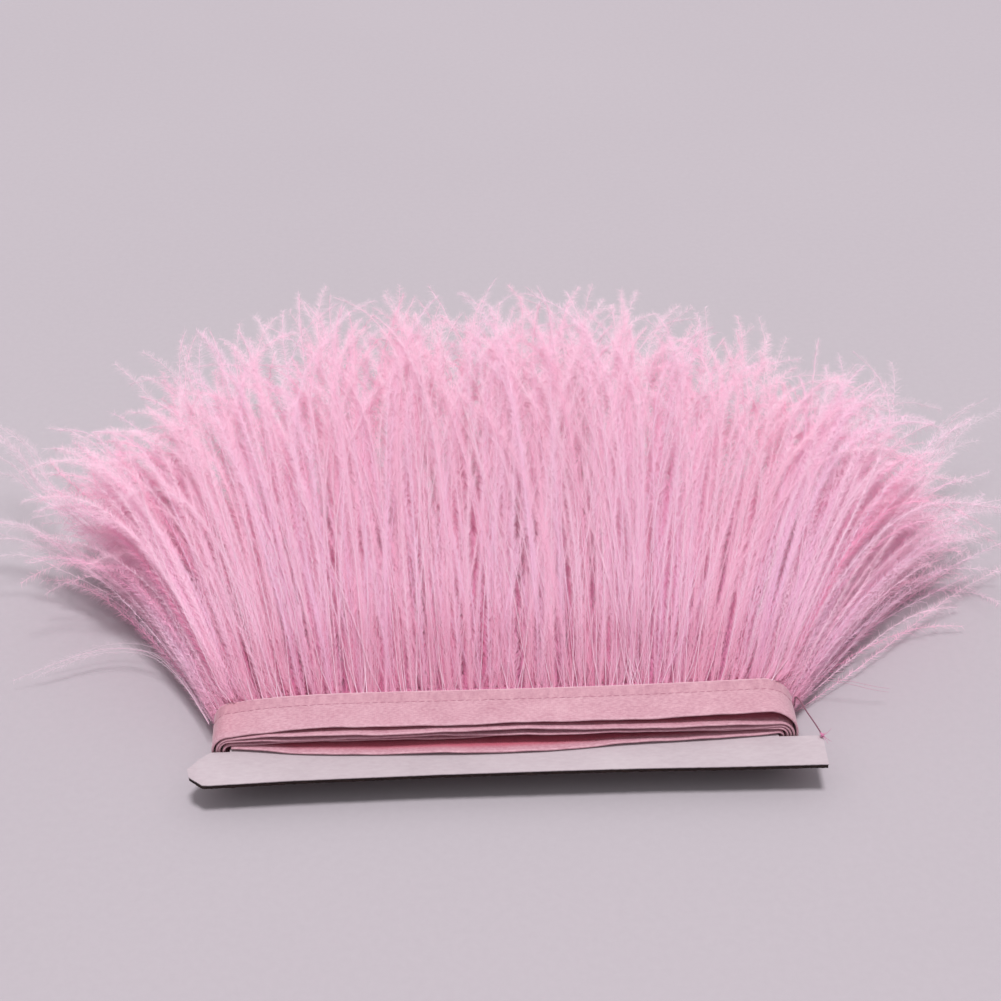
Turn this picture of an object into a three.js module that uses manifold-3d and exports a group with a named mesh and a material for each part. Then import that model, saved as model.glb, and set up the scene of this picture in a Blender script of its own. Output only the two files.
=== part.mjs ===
// Feather fringe trim wound flat on a notched paperboard card.
// Units: millimetres. X runs along the tape, Y points from the tape to the feather tips, Z is up.
// The coil is designed about its own centre (tape centreline at y = 0) and the finished group
// is shifted so that the origin is the middle of the footprint, on the table.
import * as THREE from 'three';
import { mergeGeometries, mergeVertices } from 'three/addons/utils/BufferGeometryUtils.js';
import Module from 'manifold-3d';

// ---------------------------------------------------------------- driving dimensions
const TAPE_W = 15.0;        // width of the folded satin header tape
const PLY_T = 0.18;         // one ply of satin ribbon
const TAPE_T = 0.70;        // folded tape over both plies
const ROOT_T = 0.14;        // flattened strip of quill roots between the plies
const FOLD_D = 0.9;         // depth of the solid fold along the front edge
const THREAD_W = 0.35;      // width of the sewing thread row
const STITCH_Y = 2.7;       // stitch row, measured from the tape centreline towards the feathers

const COIL_A0 = 77.9;       // half length of the innermost turn (tape centreline)
const PITCH = 1.05;         // growth of the half length with each turn
const CARD_T = 1.2;         // whole paperboard thickness
const LINER_T = 0.22;       // white paper face
const CARD_Z = 9.74;        // mid plane of the card above the table
const R0 = 1.35;            // bend radius of the innermost turn round the card's edge
// Height of the middle of each pass from the card's mid plane, inside to outside.
const TOP_B = [1.5, 3.2, 5.2, 7.0, 8.7];
const UNDER_B = [2.45, 4.75, 7.0, 9.29];
const TOP_FALL_L = [2.6, 2.6, 4, 4, 4.4];   // how quickly a pass reaches that height from the left fold
const TOP_FALL_R = [8, 2, 1.5, 1.7, 3];
const LAST_R = 9.0;         // the outermost turn is looser at the right fold

const EAR_FRONT = -20.7;    // front edge of the card
const EAR_BACK = -8.0;      // back edge of the ears, just in front of the tape
const TONGUE_HALF = 77.0;   // half width of the card's tongue, inside the coil
const TONGUE_BACK = 8.6;    // far edge of the tongue
const SLIDE = 14.0;         // travel that keeps the tongue engaged (joint range)

const FRINGE_Y0 = 9.4;      // where the fringe solids start, just behind the tape
const ROOT_HALF = 81.0;
const ROOT_Z = [0.10, 1.6, 3.85, 6.15, 8.65, 10.6, 12.1, 13.95, 15.85, 17.6, 20.0];
const TIP_Z = [0.10, 6.5, 14, 22, 31, 31, 41, 51, 62, 73, 84];
const FAN_DEG = 33.5;        // splay of the flues at the two ends of the coil
const FLUE_L = 128;         // flue length past the tape
const GAP_ROOT = 0.32;      // clearance between neighbouring fringe solids, at the root
const GAP_TIP = 2.2;        // and at the tips

const SHIFT_X = -0.614;
const SHIFT_Y = -57.8;

const wasm = await Module();
wasm.setup();

// ---------------------------------------------------------------- materials
const mat = (name, hex, rough) => {
  const m = new THREE.MeshStandardMaterial({ color: hex, roughness: rough, metalness: 0 });
  m.name = name;
  return m;
};
const SATIN = ['satin', 0xe7a9be, 0.42];
const THREAD = ['thread', 0xc98aa5, 0.7];
const BOARD = ['board', 0x3a2d2c, 0.92];
const PAPER = ['paper', 0xdcd2da, 0.8];
const FEATHER = ['feather', 0xeea6cd, 0.95];
const FLUFF = ['fluff', 0xe3b6d6, 0.95];
const QUILL = ['quill', 0xf0cfe0, 0.7];

const group = new THREE.Group();
const inner = new THREE.Group();
inner.position.set(SHIFT_X, SHIFT_Y, 0);
group.add(inner);
function add(name, geometry, spec) {
  const mesh = new THREE.Mesh(geometry, mat(...spec));
  mesh.name = name;
  inner.add(mesh);
  return mesh;
}

// ---------------------------------------------------------------- booleans
function toSolid(geometry) {
  const g = geometry.clone();
  g.deleteAttribute('normal');
  g.deleteAttribute('uv');
  const m = mergeVertices(g, 1e-4);
  return new wasm.Manifold(new wasm.Mesh({
    numProp: 3,
    vertProperties: new Float32Array(m.attributes.position.array),
    triVerts: new Uint32Array(m.index.array),
  }));
}
function toGeometry(solid) {
  const m = solid.getMesh();
  const g = new THREE.BufferGeometry();
  g.setAttribute('position', new THREE.BufferAttribute(new Float32Array(m.vertProperties), 3));
  g.setIndex(new THREE.BufferAttribute(new Uint32Array(m.triVerts), 1));
  g.computeVertexNormals();
  return g;
}

// ---------------------------------------------------------------- the wound centreline, in XZ
const rise = (s, p) => 1 - Math.pow(1 - s, p);
function windingPath() {
  const pts = [];
  const push = (x, z) => {
    const q = pts[pts.length - 1];
    if (!q || Math.hypot(q.x - x, q.y - z) > 0.02) pts.push(new THREE.Vector2(x, z));
  };
  const A = (half) => COIL_A0 + PITCH * half / 2;      // half: number of half turns done
  const R = (half) => R0 + PITCH * half / 2;
  const FLAT = [0, 0.1, 0.26, 0.5, 0.76, 1];
  const arc = (cx, r, from, to, n) => {
    for (let i = 0; i <= n; i++) {
      const t = from + (to - from) * i / n;
      push(cx + r * Math.cos(t), CARD_Z + r * Math.sin(t));
    }
  };
  const N = TOP_B.length;
  for (let k = 0; k < N; k++) {
    const hL = 2 * k, hR = 2 * k + 1;
    const rL = R(hL), rR = k === N - 1 ? LAST_R : R(hR);
    const aL = A(hL), aR = A(hR);
    // left fold, upper quarter (the innermost turn starts after it, flat on the card)
    if (k > 0) arc(-(aL - rL), rL, Math.PI, Math.PI / 2, 5);
    // top pass, left to right
    const xl = -(aL - rL), xr = aR - rR, b = TOP_B[k];
    for (const s of FLAT) push(xl * (1 - s), CARD_Z + rL + (b - rL) * rise(s, TOP_FALL_L[k]));
    for (const s of FLAT.slice().reverse()) push(xr * (1 - s), CARD_Z + rR + (b - rR) * rise(s, TOP_FALL_R[k]));
    // right fold
    arc(xr, rR, Math.PI / 2, 0, 6);
    if (k === N - 1) {                                  // the loose end stops just round the fold
      arc(xr, rR, 0, -Math.PI / 2, 6);
      push(xr - 3.2, CARD_Z - rR - 0.12);
      break;
    }
    arc(xr, rR, 0, -Math.PI / 2, 5);
    // under pass, right to left, flat along the middle
    const rB = R(hR + 1), xb = -(A(hR + 1) - rB), ub = UNDER_B[k];
    for (const s of FLAT) push(xr * (1 - s), CARD_Z - rR - (ub - rR) * (s >= 0.5 ? 1 : rise(s / 0.5, 2)));
    for (const s of FLAT.slice().reverse()) push(xb * (1 - s), CARD_Z - rB - (ub - rB) * (s >= 0.5 ? 1 : rise(s / 0.5, 2)));
    arc(xb, rB, -Math.PI / 2, -Math.PI, 5);
  }
  return pts;
}
const PATH = windingPath();

// Points at a signed distance off the path (positive is the outer face of the coil).
function offsetPath(d) {
  return PATH.map((p, i) => {
    const a = PATH[Math.max(i - 1, 0)], b = PATH[Math.min(i + 1, PATH.length - 1)];
    const t1 = new THREE.Vector2().subVectors(p, a), t2 = new THREE.Vector2().subVectors(b, p);
    if (t1.length() < 1e-9) t1.copy(t2);
    if (t2.length() < 1e-9) t2.copy(t1);
    t1.normalize(); t2.normalize();
    const n1 = new THREE.Vector2(-t1.y, t1.x), n2 = new THREE.Vector2(-t2.y, t2.x);
    const n = n1.clone().add(n2).normalize();
    const k = 1 / Math.max(0.6, n.dot(n1));
    return new THREE.Vector2(p.x + n.x * d * k, p.y + n.y * d * k);
  });
}
// A band between two offsets, y0 to y1 across the tape.
function band(d0, d1, y0, y1) {
  const lo = offsetPath(d0), hi = offsetPath(d1).reverse();
  const shape = new THREE.Shape([...lo, ...hi]);
  const g = new THREE.ExtrudeGeometry(shape, { depth: y1 - y0, bevelEnabled: false, steps: 1 });
  g.rotateX(Math.PI / 2);                               // shape (x, z) stands up, extrusion runs to -Y
  g.translate(0, y1, 0);
  return g;
}

// ---------------------------------------------------------------- header tape
{
  const h = TAPE_T / 2, f = -TAPE_W / 2, b = TAPE_W / 2;
  const fold = toSolid(band(-h, h, f, f + FOLD_D));
  const outer = toSolid(band(h - PLY_T, h, f + FOLD_D - 0.3, b));
  const innerPly = toSolid(band(-h, -h + PLY_T, f + FOLD_D - 0.3, b));
  add('header_tape', toGeometry(fold.add(outer).add(innerPly)), SATIN);
  add('quill_root_strip', band(-ROOT_T / 2, ROOT_T / 2, f + FOLD_D + 0.3, b - 0.2), QUILL);
  add('needle_thread', band(h + 0.02, h + 0.10, STITCH_Y - THREAD_W / 2, STITCH_Y + THREAD_W / 2), THREAD);
  add('bobbin_thread', band(-h - 0.10, -h - 0.02, STITCH_Y - THREAD_W / 2, STITCH_Y + THREAD_W / 2), THREAD);
}

// ---------------------------------------------------------------- winding card
{
  const outline = new THREE.Shape([
    [-83.6, -21.8], [-60, -21.1], [-20, -20.6], [40, -20.6], [88.9, EAR_FRONT],
    [89.3, -9.2], [88.6, EAR_BACK], [TONGUE_HALF, EAR_BACK], [TONGUE_HALF, TONGUE_BACK - 2],
    [TONGUE_HALF - 2, TONGUE_BACK], [-TONGUE_HALF + 2, TONGUE_BACK], [-TONGUE_HALF, TONGUE_BACK - 2],
    [-TONGUE_HALF, EAR_BACK], [-82.2, EAR_BACK], [-85.6, -11.0], [-88.2, -15.3], [-87.4, -19.0],
  ].map((p) => new THREE.Vector2(...p)));
  const sheet = (z0, z1) => {
    const g = new THREE.ExtrudeGeometry(outline, { depth: z1 - z0, bevelEnabled: false });
    g.translate(0, 0, z0);
    return g;
  };
  const z0 = CARD_Z - CARD_T / 2, z1 = CARD_Z + CARD_T / 2;
  add('card_board', sheet(z0, z1 - LINER_T - 0.02), BOARD);
  add('card_paper_face', sheet(z1 - LINER_T, z1), PAPER);
}

// ---------------------------------------------------------------- fringe
// A fringe solid is a closed slab mapped onto a fan: u across (-1..1), t from root to tip, w from its
// lower to its upper surface. Every slab has the same grid, so neighbours nest facet on facet.
function slab(nu, nt) {
  const flip = (g) => {
    const ix = g.index.array;
    for (let i = 0; i < ix.length; i += 3) [ix[i], ix[i + 1]] = [ix[i + 1], ix[i]];
    return g;
  };
  const face = () => new THREE.PlaneGeometry(2, 1, nu, nt);
  const wall = () => new THREE.PlaneGeometry(2, 1, nu, 1).rotateX(Math.PI / 2);
  const side = () => new THREE.PlaneGeometry(1, 1, 1, nt).rotateY(-Math.PI / 2);
  const g = mergeGeometries([
    face().translate(0, 0.5, 1), flip(face().translate(0, 0.5, 0)),
    wall().translate(0, 0, 0.5), flip(wall().translate(0, 1, 0.5)),
    side().translate(-1, 0.5, 0.5), flip(side().translate(1, 0.5, 0.5)),
  ]);
  g.deleteAttribute('normal');
  g.deleteAttribute('uv');
  return mergeVertices(g, 1e-4);
}
const openUp = (t) => 1 - Math.pow(1 - t, 1.7);
// Height of boundary surface j over the point (x, y); shared by the two solids it divides.
function surfaceZ(j, x, y) {
  const out = Math.max(Math.abs(x) - ROOT_HALF, 0);
  const t = Math.min(Math.hypot(out, Math.max(y - FRINGE_Y0, 0)) / 129, 1);
  const v = Math.min(Math.abs(x) / 150, 1);
  const fold = 1 - 0.4 * Math.pow(Math.min(Math.abs(x) / ROOT_HALF, 1), 3) * (1 - t);
  const root = CARD_Z + (ROOT_Z[j] - CARD_Z) * (j > 4 ? fold : 1);
  const side = 1 - 0.36 * Math.pow(v, 3) * (j > 5 ? 1 : j > 0 ? 0.9 : 0);
  return root + (TIP_Z[j] * side - root) * openUp(t);
}
function fringe(i) {
  const lo = i < 4 ? i : i + 1, hi = lo + 1;
  const g = slab(12, 6);
  const p = g.attributes.position;
  const fan = THREE.MathUtils.degToRad(FAN_DEG);
  for (let n = 0; n < p.count; n++) {
    const u = p.getX(n), t = p.getY(n), w = p.getZ(n);
    const phi = fan * (0.35 * u + 0.65 * u * u * u);
    const L = FLUE_L * (1 - 0.10 * u * u);
    const x = ROOT_HALF * u + L * t * Math.sin(phi);
    const y = FRINGE_Y0 + L * t * Math.cos(phi);
    const gap = GAP_ROOT + (GAP_TIP - GAP_ROOT) * Math.min(t * 4, 1);
    const a = surfaceZ(lo, x, y) + (lo === 0 ? 0 : gap / 2);
    const b = surfaceZ(hi, x, y) - gap / 2;
    p.setXYZ(n, x, y, a + (b - a) * w);
  }
  g.computeVertexNormals();
  return g;
}
const FRINGES = ['fringe_under_4', 'fringe_under_3', 'fringe_under_2', 'fringe_under_1',
  'fringe_top_1', 'fringe_top_2', 'fringe_top_3', 'fringe_top_4', 'fringe_top_5'];
FRINGES.forEach((name, i) => add(name, fringe(i), FEATHER));

// ---------------------------------------------------------------- plumes that stray out of the fringe
function plume(points, w0, w1) {
  const curve = new THREE.CatmullRomCurve3(points.map((p) => new THREE.Vector3(...p)));
  const g = new THREE.BoxGeometry(1, 1, 1, 1, 8, 1);
  g.translate(0, 0.5, 0);
  const p = g.attributes.position;
  for (let n = 0; n < p.count; n++) {
    const t = p.getY(n), c = curve.getPoint(t), d = curve.getTangent(t);
    const side = new THREE.Vector3(d.y, -d.x, 0).normalize();
    const up = new THREE.Vector3().crossVectors(side, d).normalize();
    const w = w0 + (w1 - w0) * t;
    c.addScaledVector(side, p.getX(n) * w).addScaledVector(up, p.getZ(n) * w * 0.5);
    p.setXYZ(n, c.x, c.y, c.z);
  }
  g.computeVertexNormals();
  return g;
}
add('stray_plume_left_low', plume([[-97.5, 27, 9], [-116, 41, 8.5], [-134, 44, 5], [-151, 40.5, 1.6]], 4, 1.6), FLUFF);
add('stray_plume_left_mid', plume([[-135.5, 84, 17], [-149, 96, 19], [-162, 103, 17]], 6, 2), FLUFF);
add('stray_plume_left_back', plume([[-146.5, 112, 27], [-153, 122, 31], [-160, 134, 33]], 5, 2), FLUFF);
add('stray_plume_right_low', plume([[86.5, 11, 8], [101, 15.5, 7.5], [119, 18.5, 4]], 2, 0.8), FLUFF);
add('stray_plume_right_mid', plume([[133.5, 80, 17], [148, 90, 19], [163, 96, 16]], 6, 2), FLUFF);
add('stray_plume_right_back', plume([[146.5, 112, 27], [154, 121, 31], [163, 130, 33]], 5, 2), FLUFF);

// ---------------------------------------------------------------- loose thread end and its knot
const THREAD_R = 0.2;
const TAIL = [[70.5, 8.45, 1.9], [75.5, 8.45, 2.0], [80.6, 8.45, 3.6], [83.9, 8.4, 7.4], [84.2, 8.0, 11.4],
  [84.7, 6.4, 12.1], [86.3, 0.4, 11.9], [87.8, -4.6, 11.6], [88.75, -8.1, 11.35]];
{
  const curve = new THREE.CatmullRomCurve3(TAIL.map((p) => new THREE.Vector3(...p)), false, 'centripetal');
  const section = new THREE.Shape();
  for (let i = 0; i < 8; i++) {
    const a = (i + 0.5) * Math.PI / 4;
    section[i ? 'lineTo' : 'moveTo'](THREAD_R * Math.cos(a), THREAD_R * Math.sin(a));
  }
  section.closePath();
  add('thread_tail', new THREE.ExtrudeGeometry(section, { steps: 40, bevelEnabled: false, extrudePath: curve }), THREAD);
  const knot = new THREE.SphereGeometry(0.8, 10, 7);
  knot.scale(1, 1, 0.85);
  knot.translate(89.05, -9.25, 11.15);
  add('thread_knot', knot, THREAD);
}

export default group;
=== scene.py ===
import math

import bmesh
import bpy
import numpy as np
from mathutils import Matrix, Vector


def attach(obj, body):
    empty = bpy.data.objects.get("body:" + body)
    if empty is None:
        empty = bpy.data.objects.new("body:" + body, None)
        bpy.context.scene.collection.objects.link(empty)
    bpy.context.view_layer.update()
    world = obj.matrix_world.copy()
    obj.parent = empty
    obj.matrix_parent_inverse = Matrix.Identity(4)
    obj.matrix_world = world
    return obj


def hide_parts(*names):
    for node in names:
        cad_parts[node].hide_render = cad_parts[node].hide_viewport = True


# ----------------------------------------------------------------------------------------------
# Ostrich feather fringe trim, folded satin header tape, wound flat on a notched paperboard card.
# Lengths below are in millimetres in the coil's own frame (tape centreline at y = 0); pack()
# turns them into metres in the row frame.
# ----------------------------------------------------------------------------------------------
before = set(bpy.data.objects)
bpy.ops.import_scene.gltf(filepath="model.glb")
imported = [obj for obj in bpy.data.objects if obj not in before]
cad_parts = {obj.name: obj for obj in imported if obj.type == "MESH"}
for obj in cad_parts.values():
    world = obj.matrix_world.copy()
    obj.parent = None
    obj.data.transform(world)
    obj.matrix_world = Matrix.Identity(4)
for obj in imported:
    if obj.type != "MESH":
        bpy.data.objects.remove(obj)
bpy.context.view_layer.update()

SHIFT = np.array([-0.614, -57.8, 0.0])
MM = 0.001


def pack(a):
    return (np.asarray(a, float) + SHIFT) * MM


# ---------------------------------------------------------------- camera
ELEV, AZIM, ROLL, DIST = math.radians(32.709), math.radians(1.897), math.radians(-0.417), 669.54
TARGET = np.array([3.317, 118.909, 10.0])
fwd = np.array([math.sin(AZIM) * math.cos(ELEV), math.cos(AZIM) * math.cos(ELEV), -math.sin(ELEV)])
right0 = np.array([math.cos(AZIM), -math.sin(AZIM), 0.0])
up0 = np.cross(right0, fwd)
rr = math.cos(ROLL) * right0 + math.sin(ROLL) * up0
uu = -math.sin(ROLL) * right0 + math.cos(ROLL) * up0
eye = pack(TARGET - DIST * fwd)
cam_data = bpy.data.cameras.new("camera")
cam_data.sensor_fit = "HORIZONTAL"
cam_data.angle = math.radians(28.0)
cam_data.clip_start, cam_data.clip_end = 0.02, 20.0
cam = bpy.data.objects.new("camera", cam_data)
bpy.context.scene.collection.objects.link(cam)
cam.matrix_world = Matrix(((rr[0], uu[0], -fwd[0], eye[0]),
                           (rr[1], uu[1], -fwd[1], eye[1]),
                           (rr[2], uu[2], -fwd[2], eye[2]),
                           (0, 0, 0, 1)))
bpy.context.scene.camera = cam
bpy.context.scene.view_settings.view_transform = "Standard"
bpy.context.scene.view_settings.look = "None"
bpy.context.scene.cycles.diffuse_bounces = 8
bpy.context.scene.cycles.max_bounces = 12

# ---------------------------------------------------------------- numbers shared with the CAD
COIL_A0, PITCH, CARD_Z, R0, LAST_R = 77.9, 1.05, 9.74, 1.35, 9.0
TOP_B = [1.5, 3.2, 5.2, 7.0, 8.7]
UNDER_B = [2.45, 4.75, 7.0, 9.29]
TOP_FALL_L = [2.6, 2.6, 4, 4, 4.4]
TOP_FALL_R = [8, 2, 1.5, 1.7, 3]
FRINGE_Y0, ROOT_HALF, FLUE_L, FAN = 9.4, 81.0, 128.0, math.radians(33.5)
ROOT_Z = [.10, 1.6, 3.85, 6.15, 8.65, 10.6, 12.1, 13.95, 15.85, 17.6, 20.0]
TIP_Z = [.10, 6.5, 14, 22, 31, 31, 41, 51, 62, 73, 84]
rise = lambda s, p: 1 - (1 - s) ** p


def winding():
    """The wound centreline in XZ, finely sampled, with a tag per point: (pass index, x, z).
    Tags: 0..4 a top pass, 10..13 an under pass, 20 a right fold, 30 a left fold."""
    pts, tags = [], []

    def push(x, z, tag):
        if not pts or math.hypot(pts[-1][0] - x, pts[-1][1] - z) > 0.02:
            pts.append((x, z))
            tags.append(tag)

    A = lambda h: COIL_A0 + PITCH * h / 2
    R = lambda h: R0 + PITCH * h / 2
    flat = np.concatenate([np.linspace(0, .12, 9), np.linspace(.14, 1, 30)])

    def arc(cx, r, t0, t1, tag):
        n = max(7, int(abs(t1 - t0) * r / 0.45))
        for i in range(n + 1):
            t = t0 + (t1 - t0) * i / n
            push(cx + r * math.cos(t), CARD_Z + r * math.sin(t), tag)

    for k in range(5):
        hL, hR = 2 * k, 2 * k + 1
        rL = R(hL)
        rR = LAST_R if k == 4 else R(hR)
        aL, aR = A(hL), A(hR)
        if k > 0:
            arc(-(aL - rL), rL, math.pi, math.pi / 2, 30 + k)
        xl, xr, b = -(aL - rL), aR - rR, TOP_B[k]
        for s in flat:
            push(xl * (1 - s), CARD_Z + rL + (b - rL) * rise(s, TOP_FALL_L[k]), k)
        for s in flat[::-1]:
            push(xr * (1 - s), CARD_Z + rR + (b - rR) * rise(s, TOP_FALL_R[k]), k)
        arc(xr, rR, math.pi / 2, 0, 20 + k)
        if k == 4:
            arc(xr, rR, 0, -math.pi / 2, 20 + k)
            push(xr - 1.6, CARD_Z - rR - 0.06, 20 + k)
            push(xr - 3.2, CARD_Z - rR - 0.12, 20 + k)
            break
        arc(xr, rR, 0, -math.pi / 2, 20 + k)
        rB, xb, ub = R(hR + 1), -(A(hR + 1) - R(hR + 1)), UNDER_B[k]
        for s in flat:
            push(xr * (1 - s), CARD_Z - rR - (ub - rR) * (1 if s >= .5 else rise(2 * s, 2)), 10 + k)
        for s in flat[::-1]:
            push(xb * (1 - s), CARD_Z - rB - (ub - rB) * (1 if s >= .5 else rise(2 * s, 2)), 10 + k)
        arc(xb, rB, -math.pi / 2, -math.pi, 30 + k + 1)
    return np.array(pts), np.array(tags)


PATH, TAGS = winding()
SEG = np.linalg.norm(np.diff(PATH, axis=0), axis=1)
ARC = np.concatenate([[0], np.cumsum(SEG)])
TAPE_LEN = float(ARC[-1])
TAN = np.gradient(PATH, ARC, axis=0)
TAN /= np.linalg.norm(TAN, axis=1)[:, None]
NRM = np.stack([-TAN[:, 1], TAN[:, 0]], 1)          # outer face of the coil


def surface_z(j, x, y):
    """Height of fringe boundary j (0..10, may be fractional) over (x, y)."""
    j = np.clip(j, 0, 10)
    lo = np.floor(j).astype(int)
    hi = np.minimum(lo + 1, 10)
    w = j - lo
    out = np.maximum(np.abs(x) - ROOT_HALF, 0)
    t = np.minimum(np.hypot(out, np.maximum(y - FRINGE_Y0, 0)) / 129, 1)
    v = np.minimum(np.abs(x) / 150, 1)
    fold = 1 - 0.4 * np.minimum(np.abs(x) / ROOT_HALF, 1) ** 3 * (1 - t)
    op = 1 - (1 - t) ** 1.7
    rz, tz = np.array(ROOT_Z), np.array(TIP_Z, float)

    def one(i):
        root = CARD_Z + (rz[i] - CARD_Z) * np.where(i > 4, fold, 1)
        side = 1 - 0.36 * v ** 3 * np.where(i > 5, 1, np.where(i > 0, .9, 0))
        return root + (tz[i] * side - root) * op

    return one(lo) * (1 - w) + one(hi) * w


# ---------------------------------------------------------------- helpers
def mesh_object(name, verts, faces, smooth=True):
    m = bpy.data.meshes.new(name)
    m.from_pydata([tuple(v) for v in verts], [], [tuple(f) for f in faces])
    m.validate()
    m.update()
    if smooth:
        m.polygons.foreach_set("use_smooth", [True] * len(m.polygons))
    o = bpy.data.objects.new(name, m)
    bpy.context.scene.collection.objects.link(o)
    return o


def fibre_object(name, verts, faces, uv, mats):
    """A mesh of fine triangles. verts (n, 3) in metres, faces (m, 3), uv (n, 2) per vertex."""
    m = bpy.data.meshes.new(name)
    nf = len(faces)
    m.vertices.add(len(verts))
    m.vertices.foreach_set("co", np.ascontiguousarray(verts, np.float32).ravel())
    m.loops.add(nf * 3)
    m.loops.foreach_set("vertex_index", np.ascontiguousarray(faces, np.int32).ravel())
    m.polygons.add(nf)
    m.polygons.foreach_set("loop_start", np.arange(0, nf * 3, 3, dtype=np.int32))
    m.polygons.foreach_set("loop_total", np.full(nf, 3, np.int32))
    layer = m.uv_layers.new(name="OFBake")
    layer.data.foreach_set("uv", np.ascontiguousarray(uv[faces.ravel()], np.float32).ravel())
    m.polygons.foreach_set("use_smooth", [True] * nf)
    m.update(calc_edges=True)
    m.validate()
    o = bpy.data.objects.new(name, m)
    bpy.context.scene.collection.objects.link(o)
    for mt in mats:
        m.materials.append(mt)
    return o


class Nodes:
    """Short-hand for building node trees."""

    def __init__(self, name):
        self.mat = bpy.data.materials.new(name)
        self.mat.use_nodes = True
        self.nt = self.mat.node_tree
        self.bsdf = self.nt.nodes["Principled BSDF"]

    def new(self, kind, **kw):
        n = self.nt.nodes.new(kind)
        for k, v in kw.items():
            setattr(n, k, v)
        return n

    def link(self, a, b):
        self.nt.links.new(a, b)

    def coord(self, scale=(1, 1, 1)):
        tc = self.new("ShaderNodeTexCoord")
        mp = self.new("ShaderNodeMapping")
        mp.inputs["Scale"].default_value = scale
        self.link(tc.outputs["Object"], mp.inputs["Vector"])
        return mp.outputs["Vector"]

    def noise(self, vec, scale, detail=4, rough=.5, distortion=0.0):
        n = self.new("ShaderNodeTexNoise")
        n.inputs["Scale"].default_value = scale
        n.inputs["Detail"].default_value = detail
        n.inputs["Roughness"].default_value = rough
        n.inputs["Distortion"].default_value = distortion
        self.link(vec, n.inputs["Vector"])
        return n.outputs["Fac"]

    def ramp(self, fac, stops, interp="LINEAR"):
        n = self.new("ShaderNodeValToRGB")
        n.color_ramp.interpolation = interp
        els = n.color_ramp.elements
        while len(els) < len(stops):
            els.new(0.5)
        for e, (p, c) in zip(els, stops):
            e.position = p
            e.color = c if len(c) == 4 else (*c, 1)
        self.link(fac, n.inputs["Fac"])
        return n.outputs["Color"]

    def mix(self, a, b, fac, mode="MIX"):
        n = self.new("ShaderNodeMix", data_type="RGBA", blend_type=mode)
        for sock, v in ((n.inputs[6], a), (n.inputs[7], b), (n.inputs[0], fac)):
            if hasattr(v, "is_output"):
                self.link(v, sock)
            else:
                sock.default_value = v
        return n.outputs[2]

    def math(self, op, a, b=0.0):
        n = self.new("ShaderNodeMath", operation=op)
        for sock, v in zip(n.inputs, (a, b)):
            if hasattr(v, "is_output"):
                self.link(v, sock)
            else:
                sock.default_value = v
        return n.outputs[0]

    def bump(self, height, strength, dist, normal=None):
        n = self.new("ShaderNodeBump")
        n.inputs["Strength"].default_value = strength
        n.inputs["Distance"].default_value = dist
        self.link(height, n.inputs["Height"])
        if normal is not None:
            self.link(normal, n.inputs["Normal"])
        return n.outputs["Normal"]

    def set(self, **kw):
        for k, v in kw.items():
            s = self.bsdf.inputs[k.replace("_", " ")]
            if hasattr(v, "is_output"):
                self.link(v, s)
            else:
                s.default_value = v
        return self.mat


def lin(r, g, b):
    f = lambda c: c / 12.92 if c <= .04045 else ((c + .055) / 1.055) ** 2.4
    return (f(r / 255), f(g / 255), f(b / 255), 1.0)


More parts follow.
